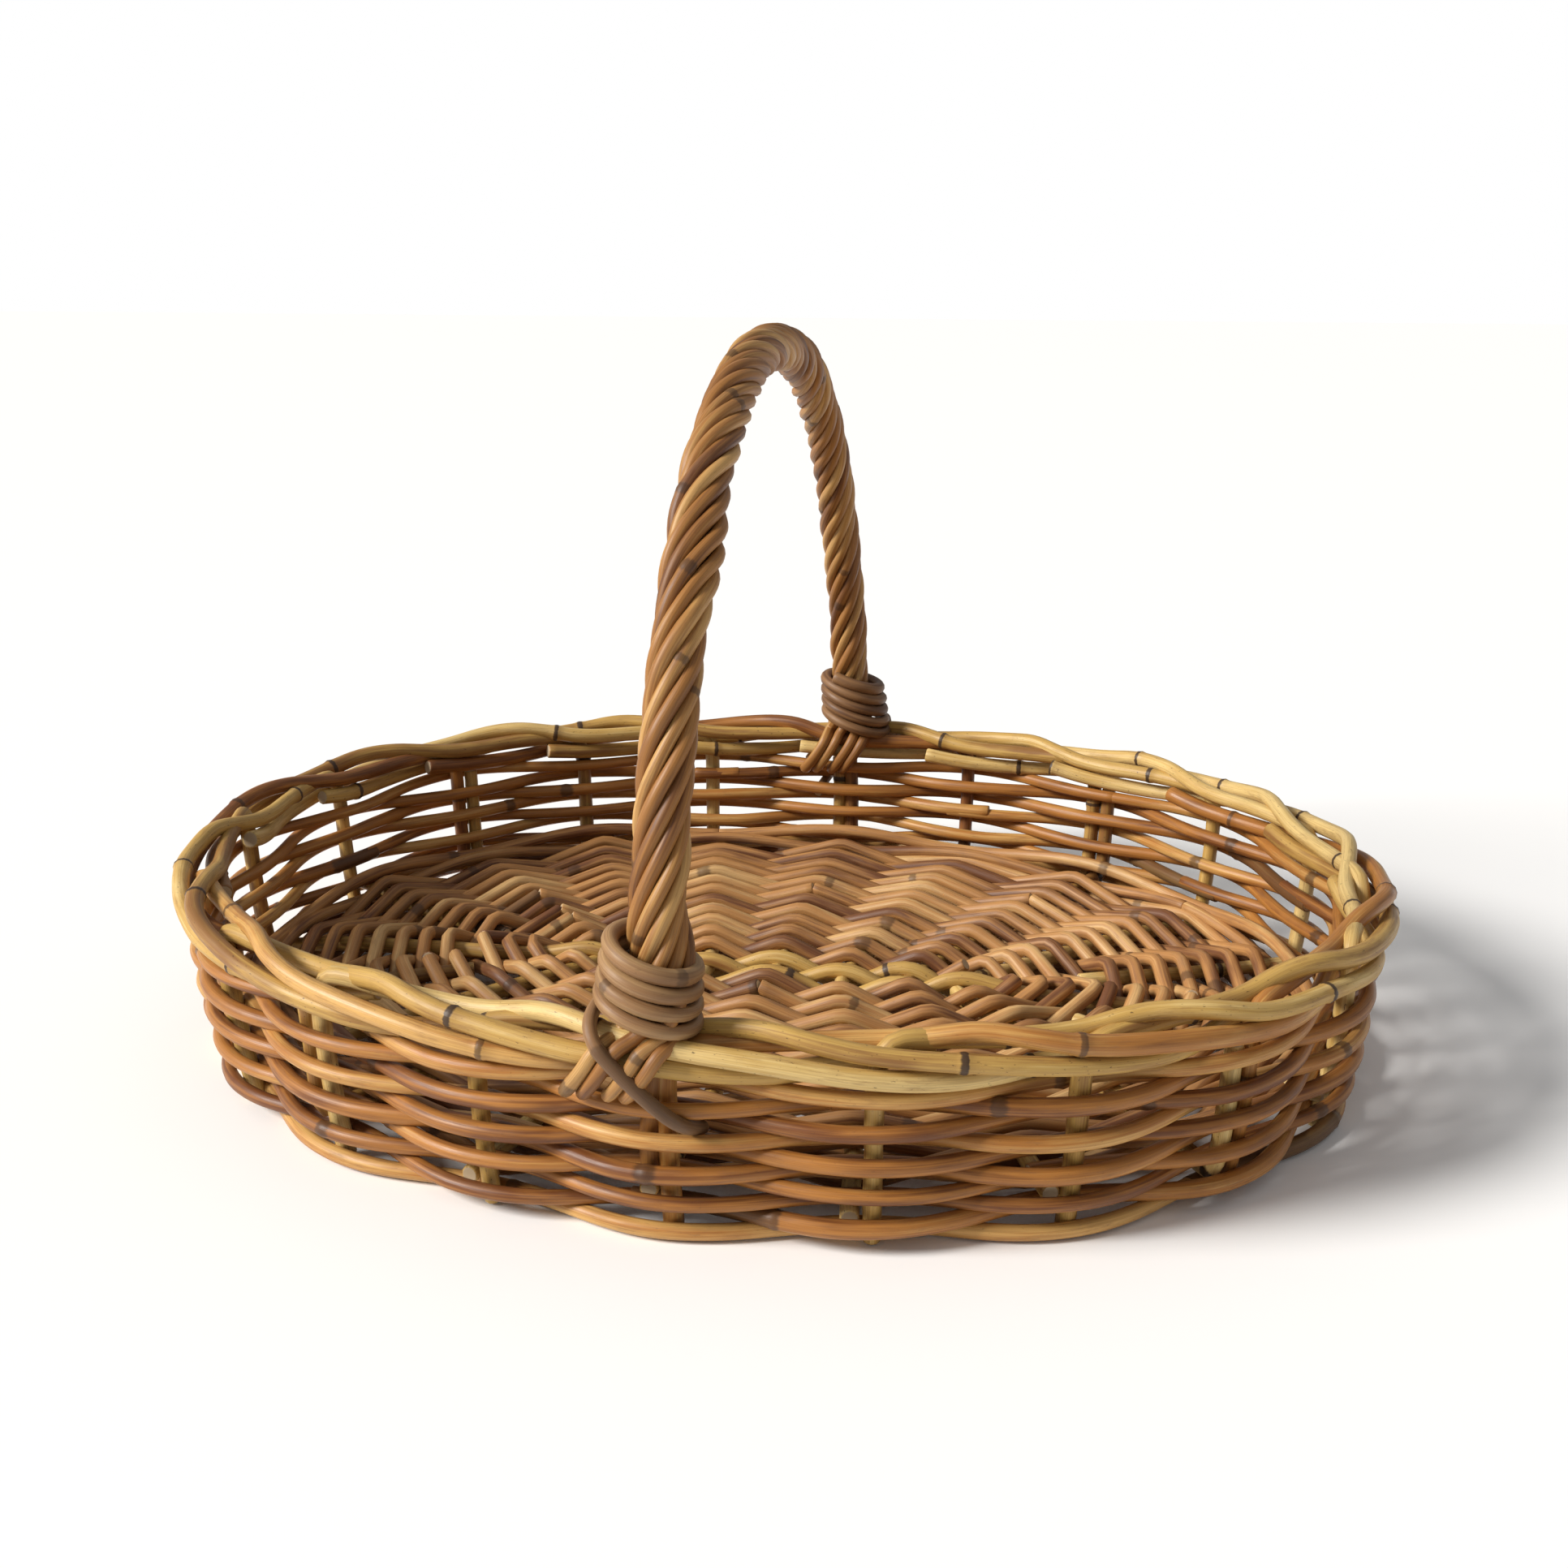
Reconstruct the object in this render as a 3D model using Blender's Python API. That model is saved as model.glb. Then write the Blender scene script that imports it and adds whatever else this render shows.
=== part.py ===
"""Oval wicker basket with a rope-twisted carrying bow, built rod by rod.

Every rod is a curve with a round bevel. The basket stands on z = 0, its long axis lies
along X, and the bow spans it from front (-Y) to back (+Y). Sizes are in metres.

A place on the wall is given by three numbers: a station, which counts the stakes
anticlockwise from the front centre, an offset outwards from a small core oval, and a height.
"""

from math import ceil, cos, pi, radians, sin, sqrt

import bpy
import numpy as np
from mathutils import Vector

# Driving dimensions
CORE_HALF_LENGTH = 0.0922
CORE_HALF_WIDTH = 0.0326
WALL_FOOT_OFFSET = 0.166
WALL_RIM_OFFSET = 0.174
RIM_HEIGHT = 0.080
BOW_TOP_HEIGHT = 0.311
STAKES = 20
FRONT, RIGHT, BACK, LEFT = 0, 5, 10, 15

# Rods
STAKE_DIAMETER = 0.0080
STICK_DIAMETER = 0.0075
WEAVER_DIAMETER = 0.0076
BASE_ROD_DIAMETER = 0.0058
BOW_DIAMETER = 0.0060
STRAND_DIAMETER = 0.0057
BINDING_DIAMETER = 0.0062
CLEARANCE = 0.0003

# Base
BASE_EDGE_HEIGHT = 0.0152
BASE_CROWN = 0.0040
BASE_EDGE_OFFSET = 0.160
SLATH_HALF_LENGTH = 0.108
SLATH_HALF_WIDTH = 0.0095
LONG_STICK_SPACING = 0.0085
SIDE_STICK_HALF_LENGTH = 0.082
MIDDLE_STICK_HALF_RUN = 0.094
BASE_ROUNDS = 23
BASE_RODS_PER_STRAND = 4
JOIN_GAP = 0.0022
MIDDLE_STICK_RISEN_SPREAD = 0.08
ADDED_RIBS = (RIGHT - 1, RIGHT + 1, LEFT - 1, LEFT + 1)
ADDED_RIB_SPREAD = 0.30
PAIR_SHIFT = 0.0042
RIB_TAPER = 0.75
RIB_BEND_SPREAD = 0.40
RIB_TURN_SPREAD = 0.80
RIB_END_OUTWARD = 0.0015

# Wall
WALL_ROWS = 9
ROW_PITCH = 0.0079
STAKE_HEIGHTS = (0.0015, 0.025, 0.050, 0.072)
WALL_WAVE = 0.0085
CREST_HALF_LENGTH = 0.0050
BOW_WAVE = 0.0092
BOW_CREST_HALF_LENGTH = 0.0075
END_CREST = (0.0020, 0.0060)

# Handle
BOW_SHIFT = -0.0046
ARCH_SPRING_HEIGHT = 0.065
ARCH_HALF_SPAN = 0.2065
ARCH_POWER = 2.2
BOW_END_HEIGHTS = (0.026, 0.045)
BOW_POINTS = 28
AXIS_POINTS = 161
ROPE_STRANDS = 6
ROPE_TURNS = 7
POINTS_PER_ROPE_TURN = 8
ROPE_END_ABOVE_RIM = 0.012
STRAND_RADIUS = 0.0069
SPLAY_RADIUS = 0.0110
SPLAY_LENGTH = 0.024
TAIL_PATH = ((0.0151, 0.007), (0.0172, 0.0015), (0.0172, -0.016))
BINDING_TURNS = 5
POINTS_PER_BINDING_TURN = 12
BINDING_ABOVE_ROPE_END = 0.004

# Where a stake lies in the border, as (stakes travelled, outward, upward) from its own top
BORDER_PATH = (
    (0.03, 0.0, 0.0050), (0.09, 0.0005, 0.0085), (0.22, 0.0015, 0.0092),
    (0.50, 0.0045, 0.0075), (0.75, 0.0085, 0.0035), (1.00, 0.0097, -0.0015), (1.25, 0.0070, -0.0045),
    (1.50, 0.0, -0.0055), (1.75, -0.0070, -0.0045), (2.00, -0.0097, -0.0010), (2.60, -0.0100, 0.0020),
)

# The end of a binding, as (across, outward, upward) from the top of the middle stake
BINDING_TAIL = (
    (0.022, 0.0165, -0.046), (0.014, 0.0185, -0.032), (0.004, 0.0240, -0.014),
    (-0.008, 0.0244, -0.002), (-0.016, 0.0240, 0.006), (-0.022, 0.0120, 0.013),
)

SQUARE, SIX_SIDED, EIGHT_SIDED = 0, 1, 2


# The oval and its stations

def oval_at(angle, offset):
    """Point on the oval that lies at this offset from the core oval."""
    outward = Vector((cos(angle) / CORE_HALF_LENGTH, sin(angle) / CORE_HALF_WIDTH, 0)).normalized()
    core = Vector((CORE_HALF_LENGTH * cos(angle), CORE_HALF_WIDTH * sin(angle), 0))
    return core + offset * outward


def station_table():
    """Angles of the oval and the station that each one has, equal stations being equal lengths."""
    angles = np.linspace(-pi / 2, 3 * pi / 2, 4001)
    points = np.array([oval_at(a, WALL_RIM_OFFSET) for a in angles])
    lengths = np.concatenate([[0], np.cumsum(np.linalg.norm(np.diff(points, axis=0), axis=1))])
    return angles, lengths / lengths[-1] * STAKES, lengths[-1] / STAKES


ANGLES, STATIONS, STAKE_SPACING = station_table()


def wall(station, offset, height):
    point = oval_at(float(np.interp(station % STAKES, STATIONS, ANGLES)), offset)
    return Vector((point.x, point.y, height))


def wall_offset(height):
    """How far out the stakes stand at this height: the wall leans out and straightens."""
    below = max(0.0, (RIM_HEIGHT - height) / RIM_HEIGHT)
    return WALL_RIM_OFFSET - (WALL_RIM_OFFSET - WALL_FOOT_OFFSET) * below ** 2


def row_height(row):
    """Height of a wall row's middle. The lowest row is six-sided and lies on one of its flats."""
    return WEAVER_DIAMETER / 2 * cos(radians(30)) + row * ROW_PITCH


def base(station, spread):
    """A place in the crowned base: spread is 0 at the slath in the middle and 1 at the base's edge."""
    turn = 2 * pi * station / STAKES
    height = BASE_EDGE_HEIGHT + BASE_CROWN * (1 - spread ** 2)
    inner = Vector((SLATH_HALF_LENGTH * sin(turn), -SLATH_HALF_WIDTH * cos(turn), height))
    return inner.lerp(wall(station, BASE_EDGE_OFFSET, height), spread)


def shifted(station, distance):
    """The station this far on, measured along the rim."""
    return station + distance / STAKE_SPACING


# Rods

def material(name, colour, roughness):
    made = bpy.data.materials.new(name)
    made.use_nodes = True
    shader = made.node_tree.nodes["Principled BSDF"]
    shader.inputs["Base Color"].default_value = (*colour, 1)
    shader.inputs["Roughness"].default_value = roughness
    shader.inputs["Metallic"].default_value = 0
    return made


def rod(name, points, diameter, finish, sides=SIX_SIDED, radii=None, level=False):
    """A round rod along these points. The radii are shares of the rod's own radius."""
    curve = bpy.data.curves.new(name, "CURVE")
    curve.dimensions = "3D"
    curve.bevel_depth = diameter / 2
    curve.bevel_resolution = sides
    curve.use_fill_caps = True
    spline = curve.splines.new("POLY")
    spline.points.add(len(points) - 1)
    for i, point in enumerate(points):
        spline.points[i].co = (*point, 1)
        spline.points[i].radius = radii[i] if radii else 1.0
    if level:
        curve.twist_mode = "Z_UP"
    curve.materials.append(finish)
    made = bpy.data.objects.new(name, curve)
    bpy.data.collections["wicker_basket"].objects.link(made)
    return made


# Base: seven short sticks lie across three long ones, and four more ribs are pushed in at the ends

def rib_end(station):
    """A rib passes beside a stake, between two rows that are inside it, up to the row that is outside it."""
    row = 2 if station % 2 == 0 else 1
    beside = shifted(station, -PAIR_SHIFT)
    height = row_height(row)
    tip = wall(beside, wall_offset(height) + RIB_END_OUTWARD, height)
    return [wall(beside, BASE_EDGE_OFFSET, height), tip]


def rib_place(station, spread):
    """A rib runs straight out to near the base's edge, and from there aims at its place in the wall."""
    if spread <= RIB_TURN_SPREAD:
        return base(station, spread)
    turned = (spread - RIB_TURN_SPREAD) / (1 - RIB_TURN_SPREAD)
    return base(station, RIB_TURN_SPREAD).lerp(rib_end(station % STAKES)[0], turned)


def rib(station, inner_spread):
    """The points of a rib from this far out in the base to its end in the wall, and its radii."""
    bends = [spread for spread in (RIB_BEND_SPREAD, RIB_TURN_SPREAD) if spread > inner_spread]
    points = [rib_place(station, spread) for spread in [inner_spread] + bends] + rib_end(station)
    return points, [1.0] * (len(points) - 2) + [RIB_TAPER, RIB_TAPER]


def rib_from_end_to_end(name, first, last, inner_spread, between, finish):
    front, radii = rib(first, inner_spread)
    back, _ = rib(last, inner_spread)
    shares = radii[::-1] + [1.0] * len(between) + radii
    rod(name, front[::-1] + between + back, STICK_DIAMETER, finish, radii=shares)


def long_sticks(finish):
    """The middle one rises into the weave at both ends. The two beside it stay under the short sticks."""
    low = BASE_EDGE_HEIGHT + BASE_CROWN - STICK_DIAMETER - CLEARANCE
    middle = [Vector((x, 0, low)) for x in (MIDDLE_STICK_HALF_RUN, -MIDDLE_STICK_HALF_RUN)]
    rib_from_end_to_end("long_stick_middle", RIGHT, LEFT, MIDDLE_STICK_RISEN_SPREAD, middle, finish)
    for name, y in (("long_stick_front", -LONG_STICK_SPACING), ("long_stick_back", LONG_STICK_SPACING)):
        ends = [Vector((x, y, low)) for x in (-SIDE_STICK_HALF_LENGTH, SIDE_STICK_HALF_LENGTH)]
        rod(name, ends, STICK_DIAMETER, finish)


def ribs_at(spread):
    """Stations that the base weave has a rib at, this far out."""
    if spread >= ADDED_RIB_SPREAD + 0.02:
        return list(range(STAKES))
    return [k for k in range(STAKES) if k not in ADDED_RIBS]


def crest(station, spread, over):
    """Where the weaver crosses one rib, bending over or under it."""
    ribs = ribs_at(spread)
    place = ribs.index(station % STAKES)
    here = rib_place(station, spread)
    near = min((base(ribs[(place + step) % len(ribs)], spread) - here).length for step in (-1, 1))
    touch = (STICK_DIAMETER + BASE_ROD_DIAMETER) / 2 + CLEARANCE
    rise = touch / sqrt(1 - min(0.6, (2 * touch / near) ** 2))
    return here + Vector((0, 0, rise if over else -rise))


def base_weavers(finish):
    """Two strands chase each other round the slath, each over the ribs that the other goes under.

    A strand is several rods, joined end to end at a rib."""
    step = 2 / STAKES / (BASE_ROUNDS + 1)
    for strand, letter in enumerate("ab"):
        first = (1 + strand) / (BASE_ROUNDS + 1)
        last_station = int((BASE_ROUNDS / (BASE_ROUNDS + 1) - first) / step)
        length = ceil(last_station / BASE_RODS_PER_STRAND)
        for number in range(BASE_RODS_PER_STRAND):
            points = []
            for station in range(number * length, min((number + 1) * length, last_station) + 1):
                spread = first + step * station
                ribs = ribs_at(spread)
                if station % STAKES in ribs:
                    over = (ribs.index(station % STAKES) + strand) % 2 == 0
                    points.append(crest(station, spread, over))
            points[0] += JOIN_GAP * (points[1] - points[0]).normalized()
            points[-1] += JOIN_GAP * (points[-2] - points[-1]).normalized()
            rod(f"base_weaver_{letter}{number + 1}", points, BASE_ROD_DIAMETER, finish, SQUARE)


# Stakes: an upright cut off just above the floor, its top woven away into the border

def stake(number, finish):
    upright = shifted(number, PAIR_SHIFT)
    points = [wall(upright, wall_offset(z), z) for z in STAKE_HEIGHTS]
    for travelled, outward, upward in BORDER_PATH:
        points.append(wall(upright + travelled, WALL_RIM_OFFSET + outward, RIM_HEIGHT + upward))
    radii = [1.0] * (len(points) - 2) + [0.95, 0.9]
    rod(f"stake_{number + 1:02d}", points, STAKE_DIAMETER, finish, radii=radii)


# Wall: rows woven in and out of the stakes, the lowest with a flat to stand on

def wall_row(row, finish):
    """One weaver once round, outside every second stake. Its two ends meet inside one stake."""
    height = row_height(row)
    middle = wall_offset(height)
    start = 6 * row + row % 2 + 3
    points = []
    for step in range(STAKES + 1):
        station = start + step
        outward = 1 if (station + row) % 2 == 0 else -1
        beside_bow = station % STAKES in (FRONT, BACK)
        wave = BOW_WAVE if beside_bow else WALL_WAVE
        centre = 0 if beside_bow else PAIR_SHIFT
        half = BOW_CREST_HALF_LENGTH if beside_bow else CREST_HALF_LENGTH
        sides = (-half, half)
        if step == 0:
            sides = END_CREST
        elif step == STAKES:
            sides = (-END_CREST[1], -END_CREST[0])
        for side in sides:
            points.append(wall(shifted(station, centre + side), middle + outward * wave, height))
    rod(f"wall_weaver_{row + 1}", points, WEAVER_DIAMETER, finish, level=row == 0)


# Handle: a bow wrapped by strands like a rope, bound to the border at both feet

def arch(count):
    """Points on the bow's axis from the front springing to the back one, evenly spaced."""
    sweep = np.linspace(0, pi, 600)
    along = -np.sign(np.cos(sweep)) * np.abs(np.cos(sweep)) ** (2 / ARCH_POWER) * ARCH_HALF_SPAN
    up = np.abs(np.sin(sweep)) ** (2 / ARCH_POWER) * (BOW_TOP_HEIGHT - ARCH_SPRING_HEIGHT)
    lengths = np.concatenate([[0], np.cumsum(np.hypot(np.diff(along), np.diff(up)))])
    wanted = np.linspace(0, lengths[-1], count)
    ys, zs = np.interp(wanted, lengths, along), np.interp(wanted, lengths, up) + ARCH_SPRING_HEIGHT
    return [Vector((-BOW_SHIFT * y / ARCH_HALF_SPAN, y, z)) for y, z in zip(ys, zs)]


def bow(finish):
    """The bow's ends are pushed down the wall, each beside a stake."""
    front = [wall(shifted(FRONT, BOW_SHIFT), wall_offset(z), z) for z in BOW_END_HEIGHTS]
    back = [wall(shifted(BACK, BOW_SHIFT), wall_offset(z), z) for z in BOW_END_HEIGHTS[::-1]]
    rod("handle_bow", front + arch(BOW_POINTS) + back, BOW_DIAMETER, finish, EIGHT_SIDED)


def tail(foot, turn):
    """A strand's end, which splays, passes the border outside or inside, and goes down the wall."""
    side = 1 if foot == FRONT else -1
    outward = -1 if sin(turn) > 0 else 1
    station = shifted(foot, BOW_SHIFT + side * SPLAY_RADIUS * cos(turn))
    return [wall(station, WALL_RIM_OFFSET + outward * reach, RIM_HEIGHT + up) for reach, up in TAIL_PATH]


def strand(number, finish):
    axis = arch(AXIS_POINTS)
    lengths = np.concatenate([[0], np.cumsum([(b - a).length for a, b in zip(axis, axis[1:])])])
    heights = np.array([point.z for point in axis])
    wound = np.nonzero(heights >= RIM_HEIGHT + ROPE_END_ABOVE_RIM)[0]
    first, last = wound[0], wound[-1]
    start_turn = 2 * pi * (number + 0.5) / ROPE_STRANDS
    points = []
    for i in np.linspace(first, last, POINTS_PER_ROPE_TURN * ROPE_TURNS + 1).astype(int):
        along = (axis[i + 1] - axis[i - 1]).normalized()
        level = Vector((1, 0, 0))
        across = along.cross(level).normalized()
        share = (lengths[i] - lengths[first]) / (lengths[last] - lengths[first])
        turn = float(start_turn + 2 * pi * ROPE_TURNS * share)
        from_end = min(lengths[i] - lengths[first], lengths[last] - lengths[i])
        splay = max(0.0, 1 - float(from_end) / SPLAY_LENGTH)
        radius = STRAND_RADIUS + (SPLAY_RADIUS - STRAND_RADIUS) * splay
        points.append(axis[i] + radius * (cos(turn) * level + sin(turn) * across))
    points = tail(FRONT, start_turn)[::-1] + points + tail(BACK, start_turn)
    rod(f"handle_strand_{number + 1}", points, STRAND_DIAMETER, finish)


def binding(name, foot, finish):
    """A rod that comes up over the border and winds round the splayed foot of the rope."""
    side = 1 if foot == FRONT else -1
    start = RIM_HEIGHT + ROPE_END_ABOVE_RIM + BINDING_ABOVE_ROPE_END
    pitch = BINDING_DIAMETER + 2 * CLEARANCE
    points = [wall(shifted(foot, across), WALL_RIM_OFFSET + outward, RIM_HEIGHT + upward)
              for across, outward, upward in BINDING_TAIL]
    axis = arch(AXIS_POINTS)
    for step in range(POINTS_PER_BINDING_TURN * BINDING_TURNS + 1):
        rise = pitch * step / POINTS_PER_BINDING_TURN
        turn = pi + 2 * pi * step / POINTS_PER_BINDING_TURN
        centre = min((p for p in axis if side * p.y < 0), key=lambda p: abs(p.z - start - rise))
        splay = max(0.0, 1 - rise / SPLAY_LENGTH)
        radius = STRAND_RADIUS + (SPLAY_RADIUS - STRAND_RADIUS) * splay
        radius += (STRAND_DIAMETER + BINDING_DIAMETER) / 2 + 3 * CLEARANCE
        ring = Vector((side * radius * cos(turn), -side * radius * sin(turn), 0))
        points.append(Vector((centre.x, centre.y, start + rise)) + ring)
    rod(name, points, BINDING_DIAMETER, finish)


def main():
    for old in list(bpy.data.objects):
        bpy.data.objects.remove(old)
    parts = bpy.data.collections.new("wicker_basket")
    bpy.context.scene.collection.children.link(parts)

    pale_cane = material("pale_cane", (0.62, 0.45, 0.20), 0.45)
    brown_rod = material("brown_rod", (0.42, 0.21, 0.08), 0.42)
    tan_rod = material("tan_rod", (0.48, 0.29, 0.16), 0.50)
    rope_rod = material("rope_rod", (0.40, 0.22, 0.10), 0.45)
    binding_rod = material("binding_rod", (0.36, 0.23, 0.14), 0.50)

    for column in range(-3, 4):
        rib_from_end_to_end(f"short_stick_{column + 4}", column % STAKES, BACK - column, 0.0, [], pale_cane)
    long_sticks(pale_cane)
    for number, station in enumerate(ADDED_RIBS):
        points, radii = rib(station, ADDED_RIB_SPREAD)
        rod(f"end_rib_{number + 1}", points, STICK_DIAMETER, pale_cane, radii=radii)
    base_weavers(tan_rod)
    for number in range(STAKES):
        stake(number, pale_cane)
    for row in range(WALL_ROWS):
        wall_row(row, brown_rod)
    bow(rope_rod)
    for number in range(ROPE_STRANDS):
        strand(number, rope_rod)
    binding("front_binding", FRONT, binding_rod)
    binding("back_binding", BACK, binding_rod)


main()
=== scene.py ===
import random
from math import cos, exp, pi, radians, sin, sqrt

import bmesh
import bpy
import numpy as np
from mathutils import Matrix, Vector


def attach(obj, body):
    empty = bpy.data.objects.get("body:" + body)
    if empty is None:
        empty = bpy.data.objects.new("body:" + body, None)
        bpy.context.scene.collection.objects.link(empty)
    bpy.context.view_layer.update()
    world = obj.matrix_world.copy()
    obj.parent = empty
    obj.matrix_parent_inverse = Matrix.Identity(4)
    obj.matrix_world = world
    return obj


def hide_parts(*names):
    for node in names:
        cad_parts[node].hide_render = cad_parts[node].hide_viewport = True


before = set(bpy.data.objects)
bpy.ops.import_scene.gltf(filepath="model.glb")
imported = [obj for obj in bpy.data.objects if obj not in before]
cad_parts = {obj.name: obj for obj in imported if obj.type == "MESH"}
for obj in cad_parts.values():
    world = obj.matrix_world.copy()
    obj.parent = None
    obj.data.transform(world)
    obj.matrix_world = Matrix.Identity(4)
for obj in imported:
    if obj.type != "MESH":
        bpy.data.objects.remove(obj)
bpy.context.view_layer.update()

# The camera stands in front of the basket, a little to the right and above the bow's foot,
# and looks slightly down into the basket.
studio_eye = bpy.data.cameras.new("studio_camera")
studio_eye.lens = 39.97
studio_eye.sensor_width = 36
camera = bpy.data.objects.new("studio_camera", studio_eye)
camera.location = (0.16095, -0.75250, 0.35384)
towards_basket = Vector((0.00485, 0, 0.11503)) - camera.location
camera.rotation_euler = towards_basket.to_track_quat("-Z", "Y").to_euler()
bpy.context.scene.collection.objects.link(camera)
bpy.context.scene.camera = camera


# The floor is a wide sheet of plain white studio paper, which lies under the basket
# and carries only the soft shadow of its foot.
white_paper = bpy.data.materials.new("white_paper")
white_paper.use_nodes = True
paper_shader = white_paper.node_tree.nodes["Principled BSDF"]
paper_shader.inputs["Base Color"].default_value = (0.97, 0.97, 0.97, 1)
paper_shader.inputs["Roughness"].default_value = 0.8
floor_shape = bmesh.new()
bmesh.ops.create_grid(floor_shape, x_segments=1, y_segments=1, size=8.0)
floor_mesh = bpy.data.meshes.new("studio_floor")
floor_shape.to_mesh(floor_mesh)
floor_shape.free()
floor_mesh.materials.append(white_paper)
floor = bpy.data.objects.new("studio_floor", floor_mesh)
bpy.context.scene.collection.objects.link(floor)


# The light is one broad soft lamp high on the left in front, in a white room. The left wall
# shades its own inside and the floor beside it, and the right wall's inside stays bright.
key_light = bpy.data.lights.new("key_light", "SUN")
key_light.energy = 4.4
key_light.angle = radians(20)
key_light.color = (1.0, 0.97, 0.93)
key_stand = bpy.data.objects.new("key_light", key_light)
key_stand.rotation_euler = Vector((1.20, 0.62, -0.88)).to_track_quat("-Z", "Y").to_euler()
bpy.context.scene.collection.objects.link(key_stand)

white_room = bpy.data.worlds.new("white_room")
white_room.use_nodes = True
room_nodes, room_links = white_room.node_tree.nodes, white_room.node_tree.links
room_light = room_nodes["Background"]
room_light.inputs["Color"].default_value = (1.0, 1.0, 1.0, 1)
room_light.inputs["Strength"].default_value = 0.34
far_wall = room_nodes.new("ShaderNodeBackground")
far_wall.inputs["Color"].default_value = (1, 1, 1, 1)
seen_directly = room_nodes.new("ShaderNodeLightPath")
room_mix = room_nodes.new("ShaderNodeMixShader")
room_links.new(seen_directly.outputs["Is Camera Ray"], room_mix.inputs[0])
room_links.new(room_light.outputs[0], room_mix.inputs[1])
room_links.new(far_wall.outputs[0], room_mix.inputs[2])
room_links.new(room_mix.outputs[0], room_nodes["World Output"].inputs["Surface"])
bpy.context.scene.world = white_room
bpy.context.scene.view_settings.view_transform = "Standard"


# The short sticks of the base are seven peeled cane rods that lie side by side across the long
# ones. Both ends fan out under the weave and are pushed in beside the stakes, low in the wall.
grain = random.Random(29)

CORE_HALF_LENGTH = 0.0922
CORE_HALF_WIDTH = 0.0326
WALL_FOOT_OFFSET = 0.166
WALL_RIM_OFFSET = 0.174
RIM_HEIGHT = 0.080
STAKES = 20
FRONT, RIGHT, BACK, LEFT = 0, 5, 10, 15
STICK_DIAMETER = 0.0075
BASE_EDGE_HEIGHT = 0.0152
BASE_CROWN = 0.0040
BASE_EDGE_OFFSET = 0.160
SLATH_HALF_LENGTH = 0.108
SLATH_HALF_WIDTH = 0.0095
LOWEST_ROW = 0.0041
ROW_PITCH = 0.0076
BESIDE_STAKE = 0.0042
RIB_TURN = 0.80
RIB_TIP_ROWS = (2, 1)
RIB_TIP_HEIGHTS = (0.046, 0.068)
KNUCKLE_RINGS = (-0.0025, -0.0012, 0.0, 0.0012, 0.0025)
KNUCKLE_HALF_WIDTH = 0.0018
END_WITHOUT_KNUCKLE = 0.002
CLOSEST_RINGS = 0.0007
CUT_EDGE = 0.0005
EDGE_SHARE = 0.90
CUT_SHARE = 0.72
DIRECTION_REACH = 0.0015
UNEVENNESS = 0.012
FLATNESS = 0.03


def oval_at(angle, offset):
    """A place round the basket's core oval, this far outside it."""
    outward = Vector((cos(angle) / CORE_HALF_LENGTH, sin(angle) / CORE_HALF_WIDTH, 0)).normalized()
    return Vector((CORE_HALF_LENGTH * cos(angle), CORE_HALF_WIDTH * sin(angle), 0)) + offset * outward


oval_angles = np.linspace(-pi / 2, 3 * pi / 2, 4001)
rim_line = np.array([oval_at(angle, WALL_RIM_OFFSET) for angle in oval_angles])
rim_lengths = np.concatenate([[0], np.cumsum(np.linalg.norm(np.diff(rim_line, axis=0), axis=1))])
STAKE_SPACING = rim_lengths[-1] / STAKES
oval_stations = rim_lengths / STAKE_SPACING


def wall(station, offset, height):
    """A place on the wall: stakes counted from the front, outwards from the core oval, and up."""
    point = oval_at(float(np.interp(station % STAKES, oval_stations, oval_angles)), offset)
    return Vector((point.x, point.y, height))


def lean(height):
    """How far out the stakes stand at this height."""
    below = max(0.0, (RIM_HEIGHT - height) / RIM_HEIGHT)
    return WALL_RIM_OFFSET - (WALL_RIM_OFFSET - WALL_FOOT_OFFSET) * below ** 2


def on(station, distance):
    """The station that lies this far along the rim."""
    return station + distance / STAKE_SPACING


def base(station, spread):
    """A place in the crowned base, from 0 at the sticks in the middle to 1 at the wall."""
    turn = 2 * pi * station / STAKES
    height = BASE_EDGE_HEIGHT + BASE_CROWN * (1 - spread ** 2)
    inner = Vector((SLATH_HALF_LENGTH * sin(turn), -SLATH_HALF_WIDTH * cos(turn), height))
    return inner.lerp(wall(station, BASE_EDGE_OFFSET, height), spread)


def rib_end(station):
    """A rib's tip passes beside its stake and rests in the wall between two rows."""
    height = LOWEST_ROW + RIB_TIP_ROWS[station % 2] * ROW_PITCH
    beside = on(station, -BESIDE_STAKE)
    end = [wall(beside, BASE_EDGE_OFFSET, height), wall(beside, lean(height) + 0.0015, height)]
    if station % 5 == 3:
        end += [wall(beside, lean(z), z) for z in RIB_TIP_HEIGHTS]
    return end


def rib_place(station, spread):
    """A place on a rib in the base. Near the wall the rib turns to the side of its stake."""
    if spread <= RIB_TURN:
        return base(station, spread)
    turned = (spread - RIB_TURN) / (1 - RIB_TURN)
    return base(station, RIB_TURN).lerp(rib_end(station % STAKES)[0], turned)


def rounded(corners, reach):
    """A path through these corners, each turned in a smooth bend that begins this far from it."""
    path = [corners[0]]
    for before, corner, after in zip(corners, corners[1:], corners[2:]):
        first = corner + (before - corner) * min(0.5, reach / (before - corner).length)
        last = corner + (after - corner) * min(0.5, reach / (after - corner).length)
        for share in np.linspace(0, 1, 9):
            path.append((1 - share) ** 2 * first + 2 * share * (1 - share) * corner + share ** 2 * last)
    return path + [corners[-1]]


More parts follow.
